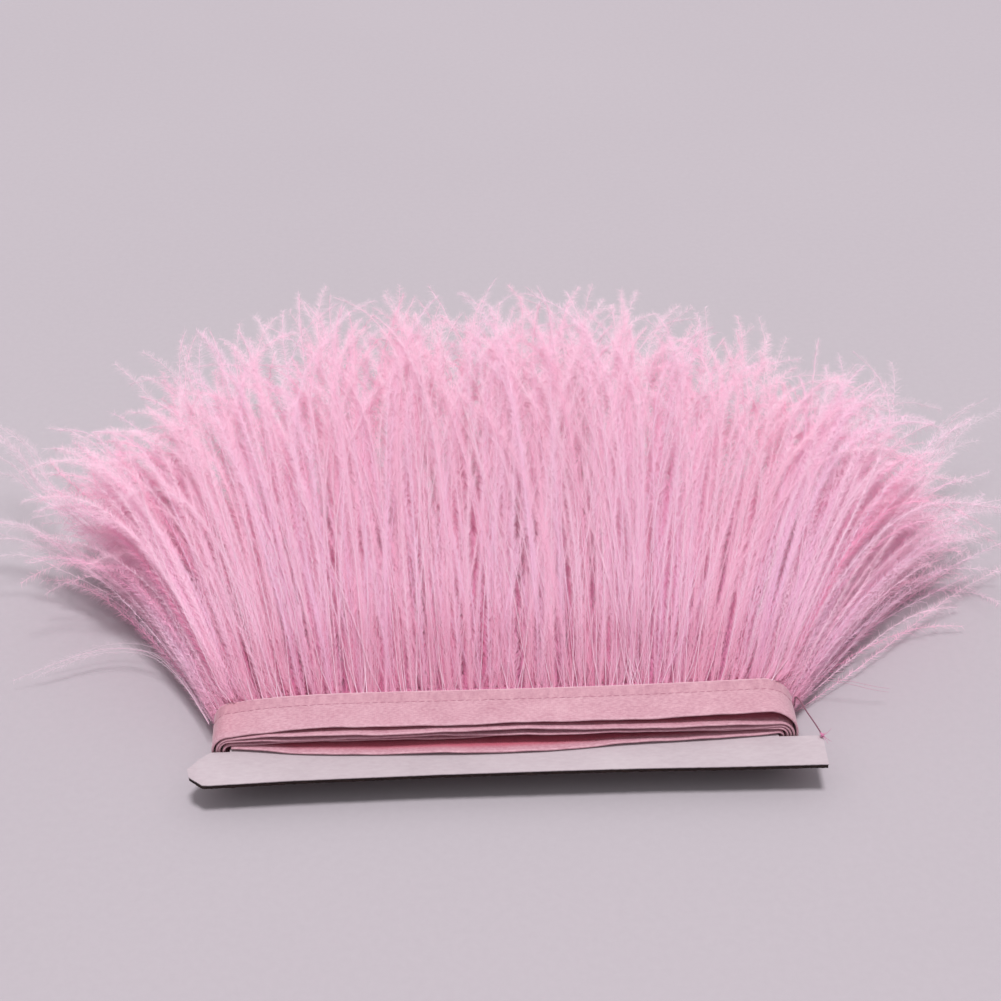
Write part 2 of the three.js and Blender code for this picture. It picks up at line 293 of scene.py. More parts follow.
# ---------------------------------------------------------------- materials
def satin_material():
    """Polyester satin ribbon: a fine warp-faced weave, soft sheen, small colour mottling, and painted shade on the
    inner turns of the coil.
    """
    n = Nodes("satin_ribbon")
    v = n.coord()
    mott = n.noise(v, 90, 5, .6)
    col = n.ramp(mott, [(.30, lin(187, 135, 150)), (.52, lin(197, 148, 162)), (.74, lin(208, 163, 175))])
    fine = n.noise(n.coord((1, 2.5, 2.5)), 900, 2, .5)
    col = n.mix(col, n.ramp(fine, [(.3, lin(160, 102, 120)), (.7, lin(224, 186, 196))]), .34)
    warp = n.new("ShaderNodeTexWave", wave_type="BANDS", bands_direction="Y")
    warp.inputs["Scale"].default_value = 900
    warp.inputs["Distortion"].default_value = 1.2
    n.link(v, warp.inputs["Vector"])
    weft = n.new("ShaderNodeTexWave", wave_type="BANDS", bands_direction="X")
    weft.inputs["Scale"].default_value = 520
    weft.inputs["Distortion"].default_value = 2.0
    n.link(v, weft.inputs["Vector"])
    weave = n.math("ADD", n.math("MULTIPLY", warp.outputs["Fac"], .6), n.math("MULTIPLY", weft.outputs["Fac"], .5))
    nb = n.bump(weave, .45, .00008)
    nb = n.bump(n.noise(v, 260, 3, .55), .35, .0003, nb)
    rib_uv = n.new("ShaderNodeUVMap", uv_map="Ribbon")
    rs = n.new("ShaderNodeSeparateXYZ")
    n.link(rib_uv.outputs["UV"], rs.inputs[0])
    band = n.ramp(rs.outputs["Y"], [(0, (0, 0, 0)), (.665, (0, 0, 0)), (.70, (1, 1, 1)), (.955, (1, 1, 1)), (.975, (0, 0, 0))])
    streak = n.noise(n.coord((1, .35, .35)), 700, 3, .6)
    col = n.mix(col, n.ramp(streak, [(.3, lin(168, 112, 130)), (.7, lin(206, 158, 170))]), n.math("MULTIPLY", band, .5))
    rim = n.ramp(rs.outputs["Y"], [(0, (0, 0, 0)), (.962, (0, 0, 0)), (.978, (1, 1, 1)), (1, (1, 1, 1))])
    col = n.mix(col, lin(226, 184, 196), n.math("MULTIPLY", rim, .7))
    nb = n.bump(n.math("MULTIPLY", streak, band), .5, .0003, nb)
    # painted shade: every pass but the outermost is mixed towards dark red, less so in a narrow strip at the front
    # fold, to stand in for the shade inside the coil
    turn = n.ramp(n.math("MULTIPLY", rs.outputs["X"], 100.0 / TAPE_LEN),
                  [(0, (.80,) * 3), (.10, (.80,) * 3), (.13, (.70,) * 3), (.84, (.70,) * 3), (.885, (0,) * 3), (1, (0,) * 3)])
    inner = n.ramp(rs.outputs["Y"], [(0, (.06,) * 3), (.085, (.10,) * 3), (.20, (1, 1, 1)), (1, (1, 1, 1))])
    col = n.mix(col, lin(184, 74, 96), n.math("MULTIPLY", turn, inner))
    rough = n.ramp(mott, [(.3, (.44,) * 3), (.7, (.58,) * 3)])
    return n.set(Base_Color=col, Roughness=rough, Normal=nb, Sheen_Weight=.25, Sheen_Roughness=.4,
                 Specular_IOR_Level=.45)


def thread_material(name, rgb):
    n = Nodes(name)
    v = n.coord((1, 1, 1))
    f = n.noise(v, 1400, 3, .6)
    col = n.mix(rgb, (min(1, rgb[0] * 1.5), min(1, rgb[1] * 1.5), min(1, rgb[2] * 1.5), 1), f)
    tw = n.new("ShaderNodeTexWave", wave_type="BANDS", bands_direction="DIAGONAL")
    tw.inputs["Scale"].default_value = 900
    n.link(v, tw.inputs["Vector"])
    return n.set(Base_Color=col, Roughness=.62, Normal=n.bump(tw.outputs["Fac"], .5, .0001), Sheen_Weight=.3)


def paper_material():
    n = Nodes("clay_paper")
    v = n.coord()
    fib = n.noise(n.coord((1, 3, 1)), 420, 6, .65)
    col = n.ramp(n.noise(v, 34, 5, .6), [(.3, lin(177, 163, 169)), (.6, lin(187, 173, 179)), (.8, lin(194, 182, 187))])
    col = n.mix(col, n.ramp(fib, [(.35, lin(176, 163, 172)), (.65, lin(212, 204, 209))]), .18)
    return n.set(Base_Color=col, Roughness=.72, Normal=n.bump(fib, .18, .0002), Specular_IOR_Level=.3)


def board_material():
    n = Nodes("grey_board")
    v = n.coord((1, 1, 5))
    fib = n.noise(v, 700, 6, .7)
    col = n.ramp(fib, [(.30, lin(24, 17, 17)), (.55, lin(48, 35, 34)), (.78, lin(92, 72, 66))])
    return n.set(Base_Color=col, Roughness=.9, Normal=n.bump(fib, .6, .0004), Specular_IOR_Level=.2)


def quill_material():
    n = Nodes("quill_roots_painted_shade")
    v = n.coord((1, .15, 1))
    f = n.noise(v, 1500, 4, .6)
    # painted shade: the quills' pink is darkened to stand in for the shade in the gaps between the roots above the tape
    # edge
    col = n.ramp(f, [(.3, lin(150, 72, 106)), (.6, lin(190, 108, 144)), (.8, lin(216, 150, 180))])
    return n.set(Base_Color=col, Roughness=.6, Normal=n.bump(f, .6, .0003))


def flue_material(name, stops, pale, deep, fade=(.18, .55, .55)):
    """Dyed ostrich flue. The OFBake UV map is the dye chart: u picks the dye lot of a strand (its quill
    from 0.86 up), v runs from root to tip."""
    n = Nodes(name)
    uv = n.new("ShaderNodeUVMap", uv_map="OFBake")
    sep = n.new("ShaderNodeSeparateXYZ")
    n.link(uv.outputs["UV"], sep.inputs[0])
    u, v = sep.outputs["X"], sep.outputs["Y"]
    dye = n.ramp(u, stops)
    along = n.ramp(v, [(0, (0, 0, 0)), (fade[0], (.16,) * 3), (fade[1], (.50,) * 3), (1, (1, 1, 1))])
    col = n.mix(dye, pale, n.math("MULTIPLY", along, fade[2]))
    root = n.ramp(v, [(0, (1, 1, 1)), (.08, (.45,) * 3), (.24, (0, 0, 0)), (1, (0, 0, 0))])
    col = n.mix(col, deep, n.math("MULTIPLY", root, .66))
    quill = n.ramp(u, [(0, (0, 0, 0)), (.84, (0, 0, 0)), (.86, (1, 1, 1)), (1, (1, 1, 1))])
    fleck = n.noise(uv.outputs["UV"], 60, 3, .5)
    qcol = n.ramp(fleck, [(.3, lin(244, 196, 222)), (.7, lin(254, 228, 240))])
    col = n.mix(col, qcol, quill)
    return n.set(Base_Color=col, Roughness=.85, Specular_IOR_Level=.2, Sheen_Weight=1.0, Sheen_Roughness=.5,
                 Sheen_Tint=lin(255, 222, 236))


SATIN = satin_material()
NEEDLE = thread_material("sewing_thread", lin(158, 98, 118))
TAIL_T = thread_material("loose_thread", lin(112, 66, 84))
PAPER = paper_material()
BOARD = board_material()
QUILL = quill_material()
PINKS = [(0.02, lin(246, 170, 206)), (.16, lin(250, 196, 222)), (.34, lin(252, 212, 233)),
         (.52, lin(252, 213, 236)), (.66, lin(247, 205, 235)), (.80, lin(254, 228, 241))]
# painted shade: DEEPS and the inner flue material give the layers below the outer one a deeper, more saturated pink, so
# the shaded gaps between the top strands look deep pink
DEEPS = [(0.02, lin(242, 128, 180)), (.34, lin(247, 156, 199)), (.60, lin(245, 160, 210)), (.80, lin(251, 184, 216))]
FLUE = flue_material("ostrich_flue", PINKS, lin(255, 226, 237), lin(232, 118, 164))
BARE = flue_material("ostrich_bare_quill", [(0.02, lin(196, 138, 162)), (.8, lin(208, 158, 178))], lin(202, 152, 174),
                     lin(190, 128, 154))
INNER = flue_material("ostrich_flue_inner_painted_shade", DEEPS, lin(255, 218, 233), lin(224, 98, 150), (.30, .66, .80))
FLUFF = flue_material("ostrich_wisp", [(0.02, lin(240, 200, 218)), (.4, lin(238, 208, 224)), (.8, lin(234, 214, 226))],
                      lin(244, 226, 236), lin(236, 178, 208))

# ---------------------------------------------------------------- the loose thread end (a cord)
TAIL = [(70.5, 8.45, 1.9), (75.5, 8.45, 2.0), (80.6, 8.45, 3.6), (83.9, 8.4, 7.4), (84.2, 8.0, 11.4),
        (84.7, 6.4, 12.1), (86.3, 0.4, 11.9), (87.8, -4.6, 11.6), (88.75, -8.1, 11.35)]


def centripetal(points, per):
    """Centripetal Catmull-Rom through the points, the same curve as the CAD tube follows."""
    p = [np.array(q, float) for q in points]
    p = [2 * p[0] - p[1]] + p + [2 * p[-1] - p[-2]]
    out = []
    for i in range(1, len(p) - 2):
        p0, p1, p2, p3 = p[i - 1:i + 3]
        t0 = 0.0
        t1 = t0 + np.linalg.norm(p1 - p0) ** .5
        t2 = t1 + np.linalg.norm(p2 - p1) ** .5
        t3 = t2 + np.linalg.norm(p3 - p2) ** .5
        for k in range(per):
            t = t1 + (t2 - t1) * k / per
            a1 = (t1 - t) / (t1 - t0) * p0 + (t - t0) / (t1 - t0) * p1
            a2 = (t2 - t) / (t2 - t1) * p1 + (t - t1) / (t2 - t1) * p2
            a3 = (t3 - t) / (t3 - t2) * p2 + (t - t2) / (t3 - t2) * p3
            b1 = (t2 - t) / (t2 - t0) * a1 + (t - t0) / (t2 - t0) * a2
            b2 = (t3 - t) / (t3 - t1) * a2 + (t - t1) / (t3 - t1) * a3
            out.append((t2 - t) / (t2 - t1) * b1 + (t - t1) / (t2 - t1) * b2)
    out.append(p[-2])
    return np.array(out)


def tube(line, radius, sides=8, twist=0.0, closed_ends=True):
    """A round tube along line (mm, n x 3). radius is a number or one per point. Returns verts, faces."""
    line = np.asarray(line, float)
    n = len(line)
    rad = np.full(n, radius, float) if np.isscalar(radius) else np.asarray(radius, float)
    tan = np.gradient(line, axis=0)
    tan /= np.linalg.norm(tan, axis=1)[:, None]
    ref = np.array([0, 0, 1.0]) if abs(tan[0][2]) < .9 else np.array([1.0, 0, 0])
    a = np.cross(tan[0], ref)
    a /= np.linalg.norm(a)
    verts, faces = [], []
    for i in range(n):
        a = a - tan[i] * np.dot(a, tan[i])
        a /= np.linalg.norm(a)
        b = np.cross(tan[i], a)
        for k in range(sides):
            t = 2 * math.pi * k / sides + twist * i
            verts.append(line[i] + rad[i] * (math.cos(t) * a + math.sin(t) * b))
    for i in range(n - 1):
        for k in range(sides):
            k2 = (k + 1) % sides
            faces.append((i * sides + k, i * sides + k2, (i + 1) * sides + k2, (i + 1) * sides + k))
    if closed_ends:
        faces.append(tuple(range(sides))[::-1])
        faces.append(tuple((n - 1) * sides + k for k in range(sides)))
    return np.array(verts), faces


def merge(parts):
    vs, fs, base = [], [], 0
    for v, f in parts:
        vs.append(v)
        fs += [tuple(i + base for i in q) for q in f]
        base += len(v)
    return np.concatenate(vs), fs


tail_line = centripetal(TAIL, 9)
tv, tf = tube(tail_line, 0.2, 10)
tail = mesh_object("loose_thread_end", pack(tv), tf)
tail.data.materials.append(TAIL_T)
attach(tail, "coil")
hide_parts("thread_tail")

# the small frayed knot at its end: two wraps and a burst of fibres
rk = np.random.default_rng(31)
parts = []
kc = np.array([89.0, -9.1, 11.2])
for w in range(3):
    ax = rk.normal(size=3)
    ax /= np.linalg.norm(ax)
    e1 = np.cross(ax, (0, 0, 1.0))
    e1 /= np.linalg.norm(e1)
    e2 = np.cross(ax, e1)
    t = np.linspace(0, 2 * math.pi, 25)
    ring = kc + .40 * (np.cos(t)[:, None] * e1 + np.sin(t)[:, None] * e2) + ax * np.linspace(-.16, .16, 25)[:, None]
    parts.append(tube(ring, 0.2, 7))
parts.append(tube(np.linspace(tail_line[-1], kc, 6), 0.2, 7))
for i in range(22):
    if i < 4:
        d = np.array([(1.0, .12, .22), (.62, -.72, -.12), (.85, .55, .15), (.5, -.85, -.2)][i])
        L = [3.4, 4.0, 2.4, 2.9][i]
    else:
        d = rk.normal(size=3) * np.array([1, 1, .7])
        L = rk.uniform(.5, 1.4)
    d = d / np.linalg.norm(d)
    bend = rk.normal(size=3) * .35
    t = np.linspace(0, 1, 6)[:, None]
    parts.append(tube(kc + d * L * t + bend * L * t ** 2 * .5, np.linspace(.09 if i < 4 else .06, .03, 6), 5))
kv, kf = merge(parts)
knot = mesh_object("frayed_knot", pack(kv), kf)
KNOT_T = thread_material("knot_fibre", lin(182, 104, 142))
knot.data.materials.append(KNOT_T)
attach(knot, "coil")
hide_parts("thread_knot")


# ---------------------------------------------------------------- header tape: one folded ribbon
def ribbon_offsets(s, y, tag_t):
    """Small normal displacement (mm) of the wound ribbon at arc length s and width y."""
    edge = np.clip((-y + 1.0) / 8.5, 0, 1) ** 1.6            # 0 at the stitched side, 1 at the front fold
    w = .21 * np.sin(s / 9.3 + 1.3) + .12 * np.sin(s / 4.1 + .4 * np.sin(s / 23.0)) + .06 * np.sin(s / 1.9 + 2)
    pucker = .035 * np.sin(s * 2 * math.pi / 4.4) * np.exp(-((y - 2.7) / 1.6) ** 2)
    return edge * w + pucker + .02 * np.sin(s / 1.3 + y * 1.7)


step = 1.15
NS = int(TAPE_LEN / step)
s_all = np.unique(np.concatenate([np.linspace(0, TAPE_LEN, NS), ARC[(TAGS >= 20)]]))
px = np.interp(s_all, ARC, PATH[:, 0])
pz = np.interp(s_all, ARC, PATH[:, 1])
nx = np.interp(s_all, ARC, NRM[:, 0])
nz = np.interp(s_all, ARC, NRM[:, 1])
ln = np.hypot(nx, nz)
nx, nz = nx / ln, nz / ln
tag_s = TAGS[np.clip(np.searchsorted(ARC, s_all), 0, len(TAGS) - 1)]


def tape_shift(x, tag):
    """The slack passes on top bow forward between the two folds; the innermost one has slid out."""
    bow = np.clip(1 - np.abs(x / 76.0) ** 4, 0, 1)
    y = np.where(tag <= 4, -2.5 * bow, 0.0)
    y = np.where(tag == 4, -1.2 * np.clip(1 - np.abs(x / 70.0) ** 2.2, 0, 1), y)
    y = np.where(tag == 3, -2.1 * bow, y)
    y = np.where(tag == 2, -1.9 * bow, y)
    inner = np.interp(x, [-76, -57, -29, -7, 15, 26, 42], [0, 1.4, 1.9, 2.5, 2.1, .7, 0])
    y = np.where(tag == 0, y - inner, y)
    y = np.where(tag == 1, y + 2.7 * bow + .5 * np.sin(x / 17.0), y)
    y = np.where(tag == 3, y - .12 + .22 * np.sin(x / 13.0 + 1), y)
    y = np.where(tag == 2, y - .25 * np.sin(x / 21.0), y)
    return np.where(tag >= 10, 0.0, y)


ysh = tape_shift(px, tag_s)
ysh = np.convolve(np.pad(ysh, 8, mode="edge"), np.ones(17) / 17, mode="valid")

yb, yf, H, T = 7.5, -7.5, 0.35, 0.12
sec = []                                               # (y, n offset, outer?) closed U section
outer_y = np.concatenate([[7.5, 7.45, 7.2, 6.9, 6.5], np.linspace(5.8, -6.2, 12)])
for y in outer_y:
    ridge = .13 * math.exp(-((y - 7.15) / .28) ** 2)
    sec.append((y, H - (.06 if y > 7.47 else 0) + ridge))
for a in np.linspace(90, -90, 7):
    sec.append((yf + .6 - (.6) * math.cos(math.radians(a)), H * math.sin(math.radians(a))))
for y in outer_y[::-1]:
    sec.append((y, -H + (.06 if y > 7.47 else 0)))
for y in (7.45, 6.5):
    sec.append((y, -H + T))
for y in np.linspace(5.8, -6.1, 5):
    sec.append((y, -H + T))
for a in np.linspace(-90, 90, 5):
    sec.append((yf + .75 - .55 * math.cos(math.radians(a)), (H - T) * math.sin(math.radians(a))))
for y in np.linspace(-6.1, 5.8, 5):
    sec.append((y, H - T))
for y in (6.5, 7.45):
    sec.append((y, H - T))
sec = np.array(sec)
m_sec = len(sec)
Y = sec[None, :, 0] + ysh[:, None]
D = sec[None, :, 1] + ribbon_offsets(s_all[:, None], sec[None, :, 0], None)
VX = px[:, None] + nx[:, None] * D
VZ = np.maximum(pz[:, None] + nz[:, None] * D, .03)
tape_v = np.stack([VX, Y, VZ], -1).reshape(-1, 3)
tape_f = []
for i in range(len(s_all) - 1):
    a, b = i * m_sec, (i + 1) * m_sec
    for k in range(m_sec):
        k2 = (k + 1) % m_sec
        tape_f.append((a + k, b + k, b + k2, a + k2))
tape_f.append(tuple(range(m_sec)))
tape_f.append(tuple((len(s_all) - 1) * m_sec + k for k in range(m_sec))[::-1])
tape = mesh_object("satin_header_tape", pack(tape_v), tape_f)
bm = bmesh.new()
bm.from_mesh(tape.data)
bmesh.ops.recalc_face_normals(bm, faces=bm.faces)
bm.to_mesh(tape.data)
bm.free()
rib = tape.data.uv_layers.new(name="Ribbon")
across = np.tile(sec[:, 0], len(s_all))
along_s = np.repeat(s_all, m_sec)
li = np.zeros(len(tape.data.loops), np.int32)
tape.data.loops.foreach_get("vertex_index", li)
rib.data.foreach_set("uv", np.stack([along_s[li] / 100.0, (across[li] + 7.5) / 15.0], 1).astype(np.float32).ravel())
tape.data.materials.append(SATIN)
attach(tape, "coil")
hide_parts("header_tape")

# ---------------------------------------------------------------- lockstitch rows
def stitches(name, side, node, mat, shift):
    ring_n, pts_n = 5, 6
    pitch = 2.2
    n = int((TAPE_LEN - 2) / pitch)
    parts = []
    rs = np.random.default_rng(5 + int(side))
    for i in range(n):
        s0 = 1 + i * pitch + shift
        ss = np.linspace(s0 + .16, s0 + pitch - .16, pts_n)
        x = np.interp(ss, s_all, px)
        z = np.interp(ss, s_all, pz)
        ax = np.interp(ss, s_all, nx)
        az = np.interp(ss, s_all, nz)
        y = 2.7 + np.linspace(-.07, .07, pts_n) + rs.normal(0, .03)
        hump = np.sin(np.linspace(0, math.pi, pts_n)) ** .6
        d = side * (H - .06 + .12 * hump) + ribbon_offsets(ss, y, None)
        line = np.stack([x + ax * d, y + np.interp(ss, s_all, ysh), z + az * d], 1)
        parts.append(tube(line, .085, ring_n))
    v, f = merge(parts)
    v[:, 2] = np.maximum(v[:, 2], .01)
    o = mesh_object(name, pack(v), f)
    o.data.materials.append(mat)
    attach(o, "coil")
    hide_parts(node)
    return o


needle = stitches("needle_stitches", 1, "needle_thread", NEEDLE, 0)
bobbin = stitches("bobbin_stitches", -1, "bobbin_thread", NEEDLE, 1.1)

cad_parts["quill_root_strip"].data.materials.clear()
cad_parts["quill_root_strip"].data.materials.append(QUILL)

# ---------------------------------------------------------------- winding card
OUTLINE = [(-83.6, -21.8), (-60, -20.8), (-20, -20.0), (40, -20.0), (88.9, -20.7), (89.3, -9.2), (88.6, -8.0),
           (77, -8.0), (77, 6.6), (75, 8.6), (-75, 8.6), (-77, 6.6), (-77, -8.0), (-82.2, -8.0),
           (-85.6, -11.0), (-88.2, -15.3), (-87.4, -19.0)]


def card_warp(x, y):
    """Lift of the card at (x, y): a slow bow, a curled left corner and a crease by the right ear."""
    front = np.clip((-8.5 - y) / 12, 0, 1)
    z = .10 * np.sin(x / 31.0 + .6) * front + .05 * np.sin(x / 11.0) * front
    corner = np.clip((-(x + 82.2) - .55 * (y + 21)) / 6.5, 0, 1.4)
    z = z + 1.7 * corner ** 1.6
    crease = x - 69.0 - .38 * (y + 14)
    z = z + front * (.12 * np.exp(-(crease / .35) ** 2) + .16 * np.clip(crease / 20, 0, 1))
    return z


def card_sheet(name, z0, z1, inset, jag, seed):
    """One ply of the card as a closed slab with an inner grid, so that it can warp."""
    rs = np.random.default_rng(seed)
    pts = []
    for (ax, ay), (bx, by) in zip(OUTLINE, OUTLINE[1:] + OUTLINE[:1]):
        n = max(1, int(math.hypot(bx - ax, by - ay) / .8))
        ex, ey = (by - ay), -(bx - ax)
        le = math.hypot(ex, ey)
        for i in range(n):
            t = i / n
            off = -inset + (jag * rs.normal() if i else 0)
            pts.append((ax + (bx - ax) * t + ex / le * off, ay + (by - ay) * t + ey / le * off))
    b = bmesh.new()
    vs = [b.verts.new((x, y, 0)) for x, y in pts]
    f = b.faces.new(vs)
    if f.normal.z < 0:
        f.normal_flip()
    for x in np.arange(-88, 90, 2.2):
        g = list(b.verts) + list(b.edges) + list(b.faces)
        bmesh.ops.bisect_plane(b, geom=g, plane_co=(x + .013, 0, 0), plane_no=(1, 0, 0))
    for y in np.arange(-20, 8, 2.0):
        g = list(b.verts) + list(b.edges) + list(b.faces)
        bmesh.ops.bisect_plane(b, geom=g, plane_co=(0, y + .017, 0), plane_no=(0, 1, 0))
    b.normal_update()
    for q in b.faces:
        if q.normal.z < 0:
            q.normal_flip()
    top = list(b.faces)
    ext = bmesh.ops.extrude_face_region(b, geom=top)
    moved = [e for e in ext["geom"] if isinstance(e, bmesh.types.BMVert)]
    lifted = set(moved)
    for v in b.verts:
        v.co.z = z1 if v in lifted else z0
    for q in top:
        q.normal_flip()
    bmesh.ops.recalc_face_normals(b, faces=b.faces)
    co = np.array([v.co[:] for v in b.verts])
    if jag > .04:                                     # the board's lower skin frays open along the front
        low = co[:, 2] < .5 * (z0 + z1)
        co[:, 2] -= np.where(low, .22 * np.clip((-17.5 - co[:, 1]) / 3, 0, 1) + rs.normal(0, .03, len(co)), 0)
    co[:, 2] += card_warp(co[:, 0], co[:, 1])
    co = pack(co)
    for v, c in zip(b.verts, co):
        v.co = c
    m = bpy.data.meshes.new(name)
    b.to_mesh(m)
    b.free()
    m.polygons.foreach_set("use_smooth", [False] * len(m.polygons))
    o = bpy.data.objects.new(name, m)
    bpy.context.scene.collection.objects.link(o)
    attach(o, "card")
    return o


board = card_sheet("card_board_core", 9.14, 10.06, .10, .05, 3)
board.data.materials.append(BOARD)
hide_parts("card_board")
paper = card_sheet("card_paper_liner", 10.08, 10.34, 0.0, .02, 4)
paper.data.materials.append(PAPER)
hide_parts("card_paper_face")


# ---------------------------------------------------------------- ostrich flues
def pass_z(tag, x):
    sel = TAGS == tag
    order = np.argsort(PATH[sel, 0])
    return np.interp(x, PATH[sel, 0][order], PATH[sel, 1][order])


NP = 49                                                # points along a flue's line
TT = np.linspace(0, 1, NP)


def fan_angle(u, j):
    """Splay of a flue rooted at u (-1..1 along the tape) in fringe layer j: the right end opens wider,
    and the upper layers stay closer together than the lower ones."""
    left = np.interp(j, [0, 4, 7, 10], [25.0, 26.0, 26.0, 24.0])
    right = np.interp(j, [0, 2, 5, 8, 10], [37.0, 36.0, 33.5, 29.5, 27.0])
    return np.radians(np.where(u < 0, left, right)) * (.35 * u + .65 * u ** 3)


def flue_lines(rng, x0, y0, z0, u, j0, length, lean, bend, hook, dj, sag, lift):
    """Centrelines of flues, (F, NP, 3) in mm. Angles in radians; j0 the fringe layer, dj its drift."""
    phi0 = fan_angle(u, j0) + lean
    t = TT[None, :]
    phi = phi0[:, None] + bend[:, None] * t ** 1.6 + hook[:, None] * np.clip((t - .5) / .5, 0, 1) ** 2
    phi = phi + rng.normal(0, .045, (len(u), 1)) * np.sin(t * 6 + rng.uniform(0, 6, (len(u), 1)))
    dt = 1.0 / (NP - 1)
    L = length[:, None]
    dx, dy = np.sin(phi) * L * dt, np.cos(phi) * L * dt
    x = x0[:, None] + np.cumsum(dx, 1) - dx[:, :1]
    y = y0[:, None] + np.cumsum(dy, 1) - dy[:, :1]
    j = j0[:, None] + dj[:, None] * t ** 1.2
    z = surface_z(j, x, y)
    w = np.clip(t / .16, 0, 1)
    w = w * w * (3 - 2 * w)
    z = z0[:, None] * (1 - w) + z * w
    z = z + lift[:, None] * t ** 1.5 - sag[:, None] * np.clip((t - .62) / .38, 0, 1) ** 2
    z = np.maximum(z, .45 + .6 * t)
    return np.stack([x, y, z], -1)


def flue_mesh(rng, line, nb, reach, tint, width=.11, spread=(40, 42, 56), roll_sd=.6, quill_r=.085, pale=.3,
              bend_from=.7, trim=None):
    """Vertices, faces and dye-chart UVs of flues along line (F, NP, 3): quill tubes and barbules."""
    F = len(line)
    tan = np.gradient(line, axis=1)
    tan /= np.linalg.norm(tan, axis=2)[..., None]
    side = np.cross(tan, np.array([0, 0, 1.0]))
    side /= np.linalg.norm(side, axis=2)[..., None]
    nor = np.cross(side, tan)
    V, Fc, U, base = [], [], [], 0
    # quill: a three-sided tapering tube
    q = np.arange(0, NP, 4)
    nq = len(q)
    is_pale = rng.random(F) < pale
    qr = (quill_r * np.where(is_pale, 1.35, 1.0)[:, None] * (1 - .62 * TT[q])[None, :])[..., None]
    rings, quv = [], []
    for k, a in enumerate((90, 210, 330)):
        a = math.radians(a)
        rings.append(line[:, q] + qr * (math.cos(a) * side[:, q] + math.sin(a) * nor[:, q]))
        uq = np.where(is_pale, .89 + .04 * k, tint + .012 * (k - 1))
        quv.append(np.stack([np.broadcast_to(uq[:, None], (F, nq)), np.broadcast_to(.02 + .94 * TT[q], (F, nq))], -1))
    rings, quv = np.stack(rings, 2), np.stack(quv, 2)           # (F, nq, 3, 3), (F, nq, 3, 2)
    V.append(rings.reshape(-1, 3))
    U.append(quv.reshape(-1, 2))
    idx = np.arange(F * nq * 3).reshape(F, nq, 3)
    for k in range(3):
        k2 = (k + 1) % 3
        a, b, c, d = idx[:, :-1, k], idx[:, :-1, k2], idx[:, 1:, k2], idx[:, 1:, k]
        Fc += [np.stack([a, b, c], -1).reshape(-1, 3), np.stack([a, c, d], -1).reshape(-1, 3)]
    base = F * nq * 3
    # barbules
    t = (np.arange(nb)[None, :] + rng.uniform(0, 1, (F, nb))) / nb
    t = np.clip(t ** .78, 0, .999)
    f = t * (NP - 1)
    i0 = np.floor(f).astype(int)
    fr = (f - i0)[..., None]
    rows = np.arange(F)[:, None]
    take = lambda arr: arr[rows, i0] * (1 - fr) + arr[rows, np.minimum(i0 + 1, NP - 1)] * fr
    p, tn, sd, nr = take(line), take(tan), take(side), take(nor)
    sign = np.where(rng.random((F, nb)) < .5, 0, math.pi)
    roll = rng.normal(0, roll_sd, (F, 1)) + rng.normal(0, .5, (F, nb)) + sign
    lat = np.cos(roll)[..., None] * sd + np.sin(roll)[..., None] * nr
    loose = np.clip((t - .30) / .70, 0, 1)
    beta = np.radians(np.interp(t, [0, .4, 1], spread) + rng.normal(0, 1, (F, nb)) * (5 + 10 * loose))
    d = np.cos(beta)[..., None] * tn + np.sin(beta)[..., None] * lat
    ln_ = np.interp(t, [0, .45, .85, 1], reach) * rng.uniform(.65, 1.25, (F, nb))
    wd = np.cross(d, nr + .55 * rng.normal(size=(F, nb, 3)) + np.array([0, -.15, .25]))
    wd /= np.linalg.norm(wd, axis=2)[..., None]
    half = (width * .5 * (1 - .5 * loose) * rng.uniform(.7, 1.3, (F, nb)))[..., None]
    curl = rng.normal(size=(F, nb, 3)) * (ln_ * (.05 + .07 * loose))[..., None]
    tip = p + d * ln_[..., None] + curl * .5
    tip[..., 2] -= ln_ * (.04 + .14 * loose)
    mid = p + d * (ln_ * .5)[..., None] + curl
    a, b = p - wd * half, p + wd * half
    cu = np.clip(np.broadcast_to(tint[:, None], (F, nb)) + rng.normal(0, .010, (F, nb)), .02, .82)
    cv = .02 + .95 * t
    e = .006
    two = t > bend_from                                         # the loose barbules near the tip bend once
    one = ~two
    n1, n2 = int(one.sum()), int(two.sum())
    V += [a[one], b[one], tip[one]]
    U += [np.stack([cu[one] - e, cv[one] - e], -1), np.stack([cu[one] + e, cv[one] - e], -1),
          np.stack([cu[one], cv[one] + e], -1)]
    r = base + np.arange(n1)
    Fc.append(np.stack([r, r + n1, r + 2 * n1], -1))
    base += 3 * n1
    mh = half * .7
    ma, mb = mid - wd * mh, mid + wd * mh
    V += [a[two], b[two], ma[two], mb[two], tip[two]]
    U += [np.stack([cu[two] - e, cv[two] - e], -1), np.stack([cu[two] + e, cv[two] - e], -1),
          np.stack([cu[two] - e, cv[two]], -1), np.stack([cu[two] + e, cv[two]], -1),
          np.stack([cu[two], cv[two] + e], -1)]
    r = base + np.arange(n2)
    Fc += [np.stack([r, r + n2, r + 3 * n2], -1), np.stack([r, r + 3 * n2, r + 2 * n2], -1),
           np.stack([r + 2 * n2, r + 3 * n2, r + 4 * n2], -1)]
    V, U, Fc = np.concatenate(V), np.concatenate(U), np.concatenate(Fc)
    return V, Fc, np.clip(U, .001, .999)


TOTAL = 0
LIMX, LIMY0, LIMY1, LIMZ = 181.0, -90.0, 92.5, 94.0


